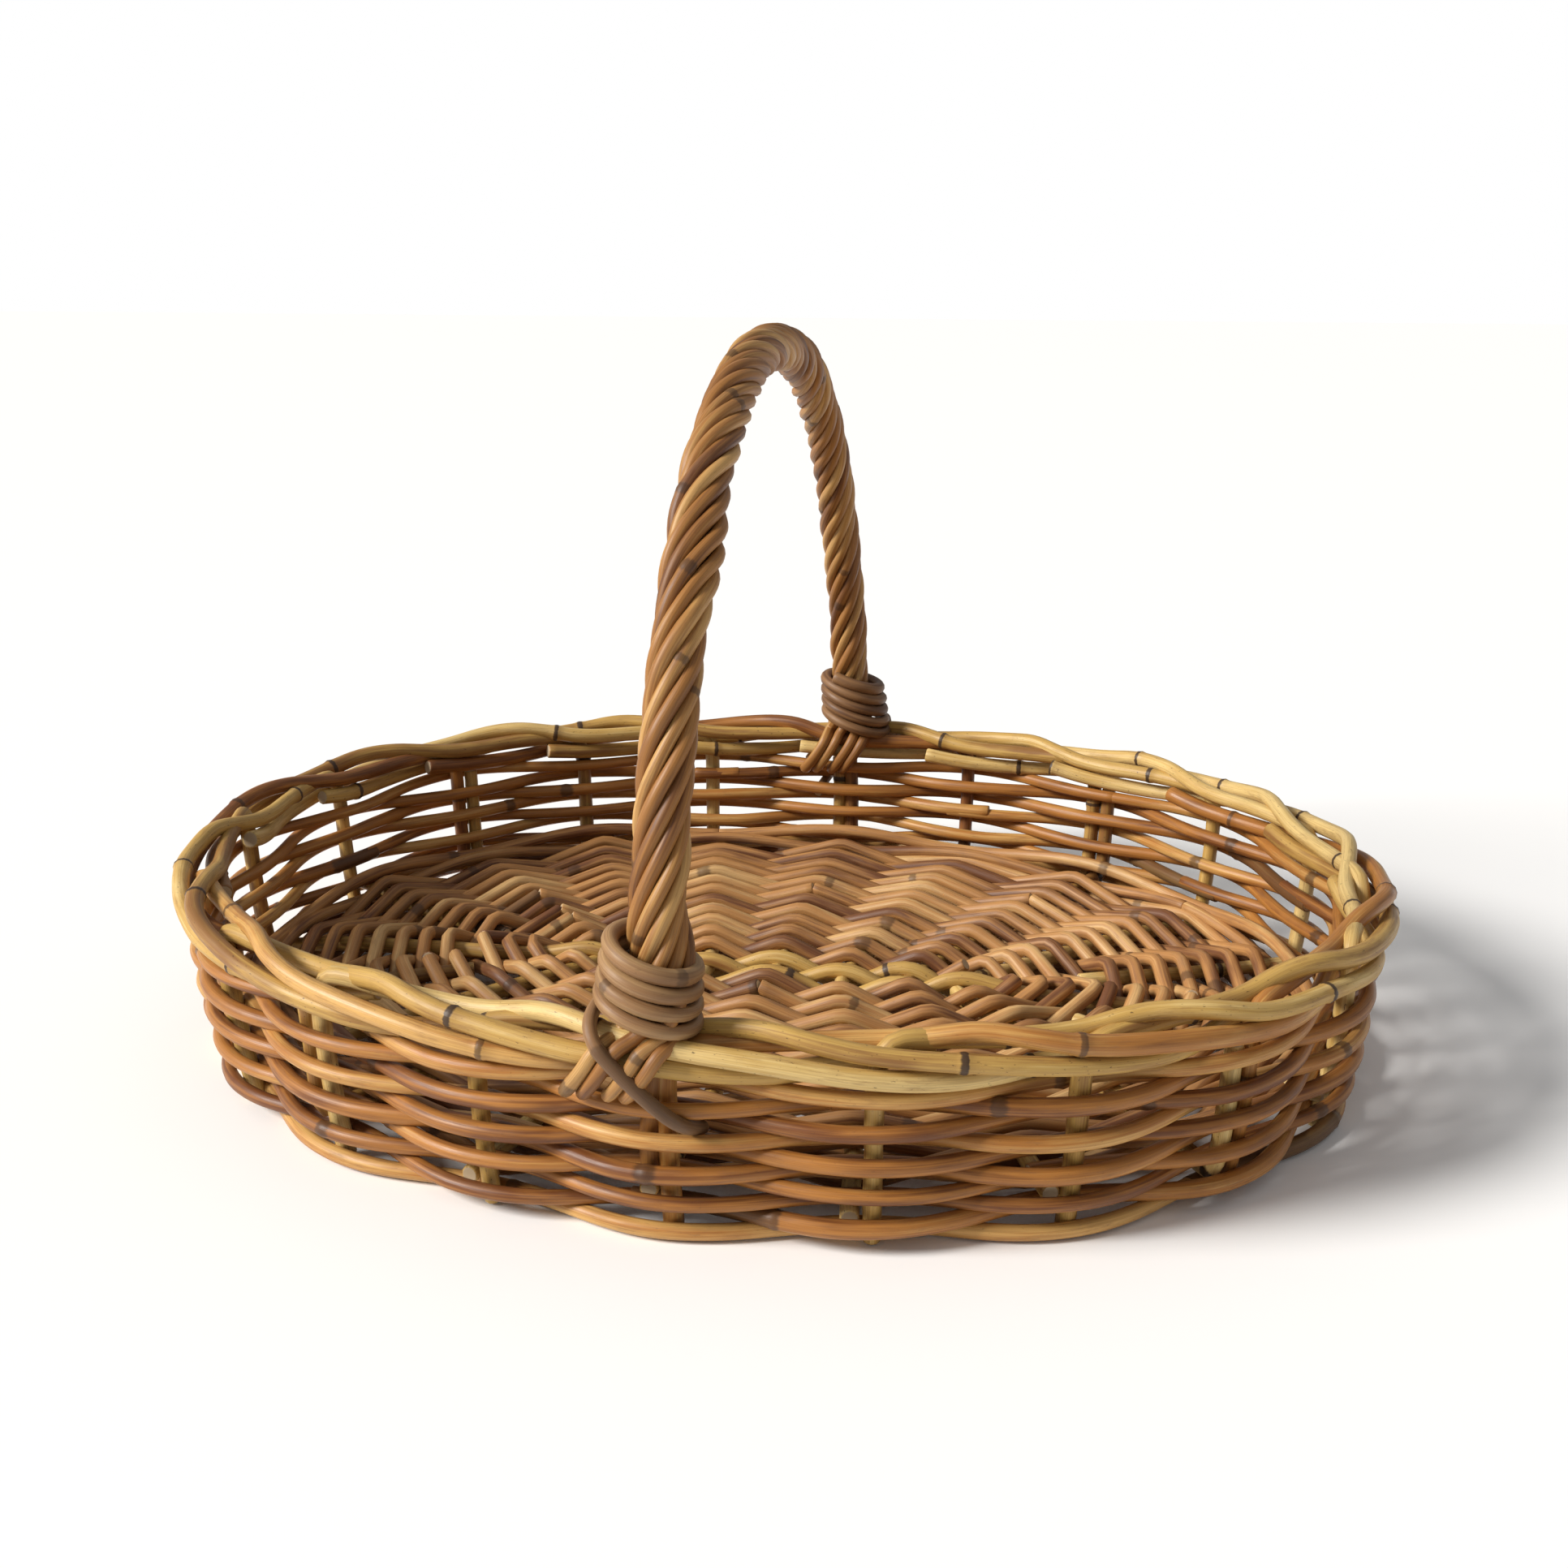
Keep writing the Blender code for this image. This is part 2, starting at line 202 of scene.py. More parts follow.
def cane_rod(corners, diameter, bend=0.02, tip=1.0, knuckle_gap=0.12, knuckle_swell=0.13, sides=10,
             step=0.004, cut_slant=0.25):
    """One natural rod along these corners. It thins towards its tip, swells at the knuckles where
    its leaves grew and is cut across at both ends. Each ring of it carries its place along and round
    the rod, its own shade and its place between knuckles, for the finish to follow."""
    path = np.array(rounded(corners, bend))
    reach = np.concatenate([[0], np.cumsum(np.linalg.norm(np.diff(path, axis=0), axis=1))])
    length = reach[-1]

    def at(place):
        return Vector([float(np.interp(place, reach, path[:, axis])) for axis in range(3)])

    knuckles = [grain.uniform(-0.9, 0.3) * knuckle_gap]
    while knuckles[-1] < length:
        knuckles.append(knuckles[-1] + knuckle_gap * grain.uniform(0.65, 1.4))
    close = [knuckle + aside for knuckle in knuckles for aside in KNUCKLE_RINGS]
    close = [place for place in close if END_WITHOUT_KNUCKLE < place < length - END_WITHOUT_KNUCKLE]
    places = [0.0]
    for place in sorted(close + list(np.linspace(0, length, max(3, round(length / step))))):
        if place - places[-1] > CLOSEST_RINGS:
            places.append(place)
    places[-1] = length

    shade = grain.random()
    start = grain.uniform(0, 40)
    waves = [(grain.uniform(0, 6.28), grain.uniform(60, 190)) for _ in range(3)]
    slants = (cut_slant * grain.uniform(-1, 1), cut_slant * grain.uniform(-1, 1))
    # Every ring has its place, its share of the full radius, and 1 where it edges a cut end
    rings = [(0.0, CUT_SHARE, 1.0), (0.0, EDGE_SHARE, 0.0), (CUT_EDGE, 1.0, 0.0)]
    rings += [(place, 1.0, 0.0) for place in places[1:-1]]
    rings += [(length - CUT_EDGE, 1.0, 0.0), (length, EDGE_SHARE, 0.0), (length, CUT_SHARE, 1.0)]

    placed, along = [], (at(0.001) - at(0)).normalized()
    turned = along.to_track_quat("Z", "Y")
    for number, (place, share, cut) in enumerate(rings):
        ahead, behind = min(place + DIRECTION_REACH, length), max(place - DIRECTION_REACH, 0)
        new_along = (at(ahead) - at(behind)).normalized()
        turned = along.rotation_difference(new_along) @ turned
        along = new_along
        nearest = min(abs(place - knuckle) for knuckle in knuckles)
        radius = diameter / 2 * share * (1 + (tip - 1) * place / length)
        radius *= 1 + knuckle_swell * exp(-(nearest / KNUCKLE_HALF_WIDTH) ** 2)
        radius *= 1 + UNEVENNESS * sum(sin(phase + rate * place) for phase, rate in waves)
        flat = 1 + FLATNESS * sin(waves[0][0] + 23 * place)
        slant = Matrix.Identity(4)
        if number < 2:
            slant[2][0] = slants[0] * radius * 2
        elif number > len(rings) - 3:
            slant[2][0] = slants[1] * radius * 2
        turned_ring = Matrix.LocRotScale(at(place), turned, None) @ slant
        turned_ring = turned_ring @ Matrix.Diagonal((radius * flat, radius / flat, 1, 1))
        knuckle_place = float(np.interp(place, knuckles, range(len(knuckles))))
        placed.append((turned_ring, start + place, knuckle_place, cut))

    # A straight tube of even rings, each of which is then moved to its place on the path
    shape = bmesh.new()
    surface = shape.verts.layers.float_vector.new("rod_surface")
    tone = shape.verts.layers.float_vector.new("rod_tone")
    bmesh.ops.create_circle(shape, segments=sides, radius=1.0)
    bmesh.ops.spin(shape, geom=list(shape.edges), cent=(0, 0, 0), axis=(0, 0, 1), dvec=(0, 0, 1), angle=0,
                   steps=len(rings) - 1)
    for face in shape.faces:
        face.smooth = True
    bmesh.ops.holes_fill(shape, edges=list(shape.edges), sides=0)
    for vertex in shape.verts:
        turned_ring, place, knuckle_place, cut = placed[round(vertex.co.z)]
        vertex[surface] = (vertex.co.x * diameter / 2, vertex.co.y * diameter / 2, place)
        vertex[tone] = (shade, knuckle_place, cut)
        vertex.co = turned_ring @ Vector((vertex.co.x, vertex.co.y, 0))
    # On a long bent rod the recalculation can settle on the inner side, which its volume shows
    bmesh.ops.recalc_face_normals(shape, faces=list(shape.faces))
    if shape.calc_volume(signed=True) < 0:
        bmesh.ops.reverse_faces(shape, faces=list(shape.faces))
    return shape


def set_piece(name, rods, finish, slot, *nodes):
    """Joins rods into one piece, which is fixed in the basket and stands for these CAD nodes."""
    joined = bmesh.new()
    for shape in rods:
        one_rod = bpy.data.meshes.new("rod")
        shape.to_mesh(one_rod)
        shape.free()
        joined.from_mesh(one_rod)
        bpy.data.meshes.remove(one_rod)
    mesh = bpy.data.meshes.new(name)
    joined.to_mesh(mesh)
    joined.free()
    mesh.materials.append(finish)
    piece = bpy.data.objects.new(name, mesh)
    bpy.context.scene.collection.objects.link(piece)
    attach(piece, "root")
    if nodes:
        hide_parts(*nodes)


def rod_grain():
    """The natural skin of a rod: fine fibres along it, slow stains, dark specks, a dark ring at each
    knuckle and paler pith where it is cut."""
    group = bpy.data.node_groups.new("rod_grain", "ShaderNodeTree")
    face = group.interface
    for name, kind, value in (
        ("Light", "NodeSocketColor", (0.7, 0.5, 0.3, 1)),
        ("Middle", "NodeSocketColor", (0.5, 0.3, 0.15, 1)),
        ("Dark", "NodeSocketColor", (0.2, 0.1, 0.05, 1)),
        ("Stain", "NodeSocketColor", (0.25, 0.18, 0.12, 1)),
        ("Knuckle", "NodeSocketColor", (0.045, 0.024, 0.014, 1)),
        ("Pith", "NodeSocketColor", (0.5, 0.38, 0.24, 1)),
        ("Shade Spread", "NodeSocketFloat", 0.6), ("Fibre", "NodeSocketFloat", 0.5),
        ("Stain Amount", "NodeSocketFloat", 0.4), ("Speck Amount", "NodeSocketFloat", 0.3),
        ("Knuckle Amount", "NodeSocketFloat", 0.8), ("Gloss", "NodeSocketFloat", 0.42),
    ):
        face.new_socket(name=name, in_out="INPUT", socket_type=kind).default_value = value
    face.new_socket(name="Color", in_out="OUTPUT", socket_type="NodeSocketColor")
    face.new_socket(name="Roughness", in_out="OUTPUT", socket_type="NodeSocketFloat")
    face.new_socket(name="Height", in_out="OUTPUT", socket_type="NodeSocketFloat")
    nodes, links = group.nodes, group.links
    given = nodes.new("NodeGroupInput")
    result = nodes.new("NodeGroupOutput")

    def math(kind, *values, clamp=False):
        node = nodes.new("ShaderNodeMath")
        node.operation = kind
        node.use_clamp = clamp
        for socket, value in zip(node.inputs, values):
            if isinstance(value, (int, float)):
                socket.default_value = value
            else:
                links.new(value, socket)
        return node.outputs[0]

    def range_of(value, low, high, to_low=0.0, to_high=1.0):
        node = nodes.new("ShaderNodeMapRange")
        node.interpolation_type = "SMOOTHSTEP"
        for socket, number in zip(node.inputs[1:5], (low, high, to_low, to_high)):
            socket.default_value = number
        links.new(value, node.inputs[0])
        return node.outputs[0]

    def mixed(share, first, second, kind="MIX"):
        node = nodes.new("ShaderNodeMix")
        node.data_type = "RGBA"
        node.blend_type = kind
        links.new(share, node.inputs[0])
        links.new(first, node.inputs[6])
        links.new(second, node.inputs[7])
        return node.outputs[2]

    def noise(scale, detail, rough=0.6):
        mapping = nodes.new("ShaderNodeMapping")
        mapping.inputs["Scale"].default_value = scale
        links.new(surface.outputs["Vector"], mapping.inputs["Vector"])
        node = nodes.new("ShaderNodeTexNoise")
        node.inputs["Scale"].default_value = 1
        node.inputs["Detail"].default_value = detail
        node.inputs["Roughness"].default_value = rough
        links.new(mapping.outputs["Vector"], node.inputs["Vector"])
        return node.outputs["Fac"]

    surface = nodes.new("ShaderNodeAttribute")
    surface.attribute_name = "rod_surface"
    tone = nodes.new("ShaderNodeAttribute")
    tone.attribute_name = "rod_tone"
    parts = nodes.new("ShaderNodeSeparateXYZ")
    links.new(tone.outputs["Vector"], parts.inputs[0])
    shade, knuckle_place, cut = parts.outputs

    fibres = noise((2600, 2600, 26), 3)
    streaks = noise((700, 700, 9), 3)
    patches = noise((130, 130, 17), 3)
    specks = noise((1100, 1100, 420), 2)
    blots = noise((420, 420, 60), 4, 0.7)

    # The rod's own shade, moved a little by its streaks, goes from dark through middle to light
    own = math("MULTIPLY", math("SUBTRACT", shade, 0.5), given.outputs["Shade Spread"])
    moved = math("ADD", math("ADD", own, 0.5), math("MULTIPLY", math("SUBTRACT", streaks, 0.5), 0.9))
    moved = math("ADD", moved, math("MULTIPLY", math("SUBTRACT", patches, 0.5), 1.5), clamp=True)
    dark_half = mixed(range_of(moved, 0.0, 0.5), given.outputs["Dark"], given.outputs["Middle"])
    body = mixed(range_of(moved, 0.5, 1.0), dark_half, given.outputs["Light"])
    stained = math("MULTIPLY", range_of(blots, 0.50, 0.72), given.outputs["Stain Amount"])
    body = mixed(stained, body, given.outputs["Stain"])
    fine = math("MULTIPLY", range_of(fibres, 0.62, 0.36), given.outputs["Fibre"])
    body = mixed(math("MULTIPLY", fine, 0.55), body, given.outputs["Dark"])
    speck = math("MULTIPLY", range_of(specks, 0.66, 0.74), given.outputs["Speck Amount"])
    body = mixed(speck, body, given.outputs["Knuckle"])
    # A knuckle is a thin dark ring with a soft brown band behind it
    from_ring = math("ABSOLUTE", math("SUBTRACT", math("FRACT", math("ADD", knuckle_place, 0.5)), 0.5))
    uneven = math("ADD", from_ring, math("MULTIPLY", math("SUBTRACT", streaks, 0.5), 0.010))
    ring = math("MULTIPLY", range_of(uneven, 0.0115, 0.0060), given.outputs["Knuckle Amount"])
    band_amount = math("MULTIPLY", given.outputs["Knuckle Amount"], 0.28)
    band = math("MULTIPLY", range_of(uneven, 0.075, 0.0), band_amount)
    body = mixed(band, body, given.outputs["Dark"])
    body = mixed(ring, body, given.outputs["Knuckle"])
    body = mixed(range_of(cut, 0.25, 0.6), body, given.outputs["Pith"])
    links.new(body, result.inputs["Color"])

    dull = math("ADD", given.outputs["Gloss"], math("MULTIPLY", math("SUBTRACT", blots, 0.5), 0.35))
    dull = math("ADD", dull, math("MULTIPLY", cut, 0.3), clamp=True)
    links.new(dull, result.inputs["Roughness"])
    high = math("ADD", math("MULTIPLY", fibres, 0.6), math("MULTIPLY", streaks, 0.5))
    high = math("SUBTRACT", high, math("MULTIPLY", ring, 0.6))
    links.new(high, result.inputs["Height"])
    return group


skin = rod_grain()


GRAIN_DEPTH = 0.00018


def rod_finish(name, light, middle, dark, stain, **amounts):
    """A finish made of the rod grain in these colours, under a thin natural gloss."""
    finish = bpy.data.materials.new(name)
    finish.use_nodes = True
    nodes, links = finish.node_tree.nodes, finish.node_tree.links
    shader = nodes["Principled BSDF"]
    shader.inputs["Specular IOR Level"].default_value = 0.36
    grained = nodes.new("ShaderNodeGroup")
    grained.node_tree = skin
    for socket, colour in (("Light", light), ("Middle", middle), ("Dark", dark), ("Stain", stain)):
        grained.inputs[socket].default_value = (*colour, 1)
    for socket, value in amounts.items():
        grained.inputs[socket.replace("_", " ").title()].default_value = value
    relief = nodes.new("ShaderNodeBump")
    relief.inputs["Strength"].default_value = 0.8
    relief.inputs["Distance"].default_value = GRAIN_DEPTH
    links.new(grained.outputs["Height"], relief.inputs["Height"])
    links.new(relief.outputs["Normal"], shader.inputs["Normal"])
    links.new(grained.outputs["Color"], shader.inputs["Base Color"])
    links.new(grained.outputs["Roughness"], shader.inputs["Roughness"])
    return finish


pale_cane = rod_finish(
    "pale_cane", (0.73, 0.53, 0.215), (0.54, 0.335, 0.090), (0.25, 0.115, 0.032), (0.25, 0.135, 0.055),
    shade_spread=0.75, fibre=0.55, stain_amount=0.45, speck_amount=0.7, knuckle_amount=0.95, gloss=0.46)


def rib_corners(station, inner_spread):
    """A rib's corners from this place in the base to its tip in the wall."""
    spreads = [spread for spread in (0.40, RIB_TURN) if spread > inner_spread]
    return [rib_place(station, spread) for spread in [inner_spread] + spreads] + rib_end(station)


for column in range(-3, 4):
    corners = rib_corners(column % STAKES, 0.0)[::-1] + rib_corners(BACK - column, 0.0)
    rods = [cane_rod(corners, STICK_DIAMETER, bend=0.03, knuckle_gap=0.15)]
    set_piece(f"cross_stick_{column + 4}", rods, pale_cane, "stake_cane", f"short_stick_{column + 4}")


# The long sticks are three more peeled canes, woven over and under the short ones. The middle one
# runs on through the weave into both end walls; the two beside it are cut off in the weave.
STICK_LIFT = STICK_DIAMETER + 0.0002


def long_run(y, over_even):
    """The places where a long stick crosses the short ones, over one and under the next."""
    run = []
    for column in range(-3, 4):
        lift = STICK_LIFT if (column % 2 == 0) == over_even else -STICK_LIFT
        x = SLATH_HALF_LENGTH * sin(2 * pi * column / STAKES)
        run.append(Vector((x, y, BASE_EDGE_HEIGHT + BASE_CROWN + lift)))
    return run


corners = rib_corners(LEFT, 0.08)[::-1] + long_run(0, False) + rib_corners(RIGHT, 0.08)
rods = [cane_rod(corners, STICK_DIAMETER, bend=0.012, knuckle_gap=0.16)]
set_piece("long_cane_middle", rods, pale_cane, "stake_cane", "long_stick_middle")
for name, side in (("front", -1), ("back", 1)):
    corners = [Vector((share * 0.112, side * 0.0095, BASE_EDGE_HEIGHT + BASE_CROWN)) for share in (-1, 1)]
    corners[1:1] = long_run(side * 0.0088, True)
    rods = [cane_rod(corners, STICK_DIAMETER, bend=0.012, knuckle_gap=0.16)]
    set_piece(f"long_cane_{name}", rods, pale_cane, "stake_cane", f"long_stick_{name}")


# The end ribs are four canes pushed into the base weave beside the middle long stick, where the
# ribs would otherwise stand too far apart. Their tips rest in the wall like the others.
ADDED_RIBS = (RIGHT - 1, RIGHT + 1, LEFT - 1, LEFT + 1)
for number, station in enumerate(ADDED_RIBS):
    rods = [cane_rod(rib_corners(station, 0.30), STICK_DIAMETER, bend=0.03, tip=0.8)]
    set_piece(f"end_cane_{number + 1}", rods, pale_cane, "stake_cane", f"end_rib_{number + 1}")


# The base weave is two strands of thin brown rod that chase each other round the sticks, each over
# the ribs that the other goes under. Every strand is several rods, joined end to end at a rib.
BASE_ROUNDS = 23
BASE_ROD_DIAMETER = 0.0066
BASE_STRAND_PIECES = 4
CORNERS_IN_A_ROD = 19
END_RIBS_BEGIN = 0.32
ROD_CLEARANCE = 0.0003
EARLY_START = (3, 13)
tan_rod = rod_finish(
    "tan_rod", (0.68, 0.43, 0.18), (0.46, 0.225, 0.075), (0.14, 0.052, 0.020), (0.24, 0.14, 0.085),
    shade_spread=0.65, fibre=0.5, stain_amount=0.4, speck_amount=0.25, knuckle_amount=0.6, gloss=0.49)


def ribs_at(spread):
    """The stations that have a rib this far out from the middle."""
    return [k for k in range(STAKES) if spread >= END_RIBS_BEGIN or k not in ADDED_RIBS]


def crest(station, spread, over):
    """Where the strand crosses a rib, bent over or under it."""
    ribs = ribs_at(spread)
    place = ribs.index(station % STAKES)
    here = rib_place(station, spread)
    near = min((base(ribs[(place + step) % len(ribs)], spread) - here).length for step in (-1, 1))
    touch = (STICK_DIAMETER + BASE_ROD_DIAMETER) / 2 + ROD_CLEARANCE
    rise = touch / sqrt(1 - min(0.6, (2 * touch / near) ** 2))
    return here + Vector((0, 0, rise if over else -rise))


station_step = 2 / STAKES / (BASE_ROUNDS + 1)
for strand, letter in enumerate("ab"):
    first_spread = (1 + strand) / (BASE_ROUNDS + 1)
    last_station = int((BASE_ROUNDS / (BASE_ROUNDS + 1) - first_spread) / station_step)
    run = -(-last_station // BASE_STRAND_PIECES)
    for number in range(BASE_STRAND_PIECES):
        corners = []
        early = EARLY_START[strand] if number == 0 else 0
        for station in range(number * run - early, min((number + 1) * run, last_station) + 1):
            spread = first_spread + station_step * station
            if station % STAKES in ribs_at(spread):
                over = (ribs_at(spread).index(station % STAKES) + strand) % 2 == 0
                corners.append(crest(station, spread, over))
        joins = list(range(0, len(corners) - 6, CORNERS_IN_A_ROD)) + [len(corners) - 1]
        rods = [cane_rod(corners[first:last + 1], BASE_ROD_DIAMETER * grain.uniform(0.94, 1.07),
                         bend=0.0045, knuckle_gap=0.3, knuckle_swell=0.07)
                for first, last in zip(joins, joins[1:])]
        length_name = f"{letter}{number + 1}"
        set_piece(f"base_rods_{length_name}", rods, tan_rod, "base_rod", f"base_weaver_{length_name}")


# Two more rods close the corner between base and wall. They lie on the ribs where these turn up
# and are packed against the inside of the wall.
CORNER_ROD_LINES = ((0.1535, 0.0205), (0.1555, 0.0270))
CORNER_ROD_WAVE = (0.001, 0.0030)
for number, (offset, height) in enumerate(CORNER_ROD_LINES):
    corners = []
    for share in np.arange(0, STAKES + 0.1, 0.125):
        swing = cos(pi * (float(share) + number))
        station = 7 + 4 * number + float(share)
        inward, upward = (size * swing for size in CORNER_ROD_WAVE)
        corners.append(wall(station, offset - inward, height + upward))
    rods = [cane_rod(corners[:82], BASE_ROD_DIAMETER, knuckle_gap=0.3),
            cane_rod(corners[81:], BASE_ROD_DIAMETER, knuckle_gap=0.3)]
    set_piece(f"corner_rods_{number + 1}", rods, tan_rod, "base_rod")


# The stakes are twenty canes, most of them peeled, that stand on the floor beside the ribs. Above
# the top row each bends over to the right and is woven away behind and in front of the next ones as
# the border.
STAKE_DIAMETER = 0.0072
STAKE_HEIGHTS = (0.0015, 0.025, 0.050, 0.070)
BORDER_PATH = (
    (0.03, -0.0005, -0.0020), (0.12, -0.0015, 0.0015), (0.50, -0.0050, 0.0020), (1.00, -0.0085, 0.0015),
    (1.30, -0.0040, 0.0065), (1.50, 0.0010, 0.0085), (1.72, 0.0060, 0.0065), (2.00, 0.0088, 0.0030),
    (2.50, 0.0100, 0.0000), (3.00, 0.0095, -0.0050), (3.50, 0.0030, -0.0085), (4.00, -0.0085, -0.0060),
    (4.30, -0.0100, -0.0030),
)
brown_rod = rod_finish(
    "brown_rod", (0.64, 0.37, 0.115), (0.42, 0.175, 0.038), (0.15, 0.050, 0.014), (0.22, 0.11, 0.052),
    shade_spread=0.75, fibre=0.5, stain_amount=0.45, speck_amount=0.25, knuckle_amount=0.7, gloss=0.42)
BROWN_STAKES = (0, 3, 9, 13, 16)
HIGH_HOOKS = {LEFT: 0.007, LEFT - 1: 0.004, RIGHT - 1: 0.005, RIGHT: 0.003, 1: 0.004, 18: 0.003}
for number in range(STAKES):
    upright = on(number, BESIDE_STAKE)
    corners = [wall(upright, lean(z), z) for z in STAKE_HEIGHTS]
    for travelled, outward, upward in BORDER_PATH:
        upward += HIGH_HOOKS.get(number, 0) * max(0.0, 1 - abs(travelled - 0.12) / 0.45)
        outward += 0.0010 * grain.uniform(-1, 1)
        upward += 0.0012 * grain.uniform(-1, 1)
        corners.append(wall(upright + travelled, WALL_RIM_OFFSET + outward, RIM_HEIGHT + upward))
    rods = [cane_rod(corners, STAKE_DIAMETER * grain.uniform(0.98, 1.10), bend=0.03, tip=1.06,
                     knuckle_gap=0.13, knuckle_swell=0.16, sides=12)]
    finish = brown_rod if number in BROWN_STAKES else pale_cane
    set_piece(f"stake_cane_{number + 1:02d}", rods, finish, "stake_cane", f"stake_{number + 1:02d}")


# The wall is ten rows of orange-brown rod, woven in and out of the stakes. Each row is two rods,
# the tip of one laid against the butt of the next inside a stake.
WALL_ROD_DIAMETER = 0.0070
WALL_ROWS = 10
WALL_NODES = 9
WALL_WAVE = 0.0070
LOWEST_WAVE = 0.0058
WAVE_AT_BOW = 0.0010
ROW_OVERLAP = 0.20


def row_corners(row, first, last):
    """A rod's run through the stakes, in smooth waves, from the one that it starts inside to its end."""
    height = LOWEST_ROW + row * ROW_PITCH * (WALL_NODES - 1) / (WALL_ROWS - 1)
    drift = [0.0013 * grain.uniform(-1, 1) if row else 0.0004 * grain.random() for _ in range(24)]
    corners = []
    for share in np.arange(0, last - first + 1e-6, 1 / 12):
        station = first + float(share)
        near_bow = max(0.0, 1 - min(abs(station % 10), 10 - station % 10))
        wave = (WALL_WAVE if row else LOWEST_WAVE) + WAVE_AT_BOW * near_bow
        swing = cos(pi * (station + row))
        swing *= 1.12 - 0.12 * abs(swing)
        up = float(np.interp(share, range(len(drift)), drift))
        beside = on(station, BESIDE_STAKE * (1 - near_bow))
        corners.append(wall(beside, lean(height) + wave * swing, height + up))
    return corners


for row in range(WALL_ROWS):
    start = 6 * row + row % 2 + 3
    rods = []
    for first, last in ((start, start + 10), (start + 10, start + 20)):
        corners = row_corners(row, first - ROW_OVERLAP, last + ROW_OVERLAP)
        rods.append(cane_rod(corners, WALL_ROD_DIAMETER * grain.uniform(0.90, 1.06), bend=0.03,
                             tip=0.90, knuckle_gap=0.34, knuckle_swell=0.11, sides=12))
    nodes = [f"wall_weaver_{row + 1}"] if row < WALL_NODES else []
    set_piece(f"wall_rods_{row + 1}", rods, brown_rod, "wall_rod", *nodes)


# The bow is one stout rod, bent over from front to back inside the rope, with its ends pushed down
# the wall beside a stake. It is only seen where the rope opens at its feet.
BOW_SHIFT = -0.0030
ARCH_SPRING_HEIGHT = 0.065
ARCH_HALF_SPAN = 0.2065
BOW_TOP_HEIGHT = 0.311
ARCH_SQUARENESS = 2.2
BOW_LEAN_PLACES = (-0.2065, -0.18, -0.10, 0, 0.10, 0.18, 0.2065)
BOW_LEAN = (0.0012, 0.0018, 0.0010, -0.0015, -0.0020, -0.0010, 0.0015)
rope_rod = rod_finish(
    "rope_rod", (0.54, 0.31, 0.105), (0.34, 0.150, 0.038), (0.11, 0.038, 0.013), (0.21, 0.11, 0.055),
    shade_spread=0.7, fibre=0.5, stain_amount=0.4, speck_amount=0.2, knuckle_amount=0.6, gloss=0.46)


def arch(count):
    """Points on the bow's middle line from the front springing to the back one, evenly spaced."""
    sweep = np.linspace(0, pi, 600)
    along = -np.sign(np.cos(sweep)) * np.abs(np.cos(sweep)) ** (2 / ARCH_SQUARENESS) * ARCH_HALF_SPAN
    up = np.abs(np.sin(sweep)) ** (2 / ARCH_SQUARENESS) * (BOW_TOP_HEIGHT - ARCH_SPRING_HEIGHT)
    reach = np.concatenate([[0], np.cumsum(np.hypot(np.diff(along), np.diff(up)))])
    wanted = np.linspace(0, reach[-1], count)
    ys, zs = np.interp(wanted, reach, along), np.interp(wanted, reach, up) + ARCH_SPRING_HEIGHT
    xs = np.interp(ys, BOW_LEAN_PLACES, BOW_LEAN)
    return [Vector((x, y, z)) for x, y, z in zip(xs, ys, zs)]


bow_foot = [wall(on(FRONT, BOW_SHIFT), lean(z), z) for z in (0.026, 0.045)]
bow_heel = [wall(on(BACK, BOW_SHIFT), lean(z), z) for z in (0.045, 0.026)]
rods = [cane_rod(bow_foot + arch(40) + bow_heel, 0.0082, sides=12)]
set_piece("bow_rod", rods, rope_rod, "handle_rod", "handle_bow")


# The rope is eight thinner rods wound round the bow from one foot to the other. At both feet they
# splay, pass the border outside or inside, and end among the wall's upper rows.
ROPE_RODS = 8
ROPE_ROD_DIAMETER = 0.0060
ROPE_TURNS = 7.0
ROPE_RADIUS = 0.0079
SPLAY_RADIUS = 0.0120
SPLAY_LENGTH = 0.026
ROPE_START = RIM_HEIGHT + 0.006
ROPE_TAIL = (
    (0.002, 0.0155, 0.004), (0.006, 0.0172, -0.0035), (0.0125, 0.0160, -0.0125),
    (0.0160, 0.0095, -0.0170),
)
BULGE_HEIGHT = 0.246
BULGE = 0.0036
BULGE_HALF_LENGTH = 0.010
rope_axis = arch(241)
axis_reach = np.concatenate([[0], np.cumsum([(b - a).length for a, b in zip(rope_axis, rope_axis[1:])])])
wound = [i for i, point in enumerate(rope_axis) if point.z >= ROPE_START]
wound_length = axis_reach[wound[-1]] - axis_reach[wound[0]]


def rope_tail(foot, turn):
    """A rope rod's end: it passes the border on its own side and is tucked between the top rows."""
    side = 1 if foot == FRONT else -1
    outward = -1 if sin(turn) > 0 else 1
    station = on(foot, BOW_SHIFT + side * SPLAY_RADIUS * cos(turn))
    return [wall(on(station, -side * drift), WALL_RIM_OFFSET + outward * out, RIM_HEIGHT + up)
            for drift, out, up in ROPE_TAIL]


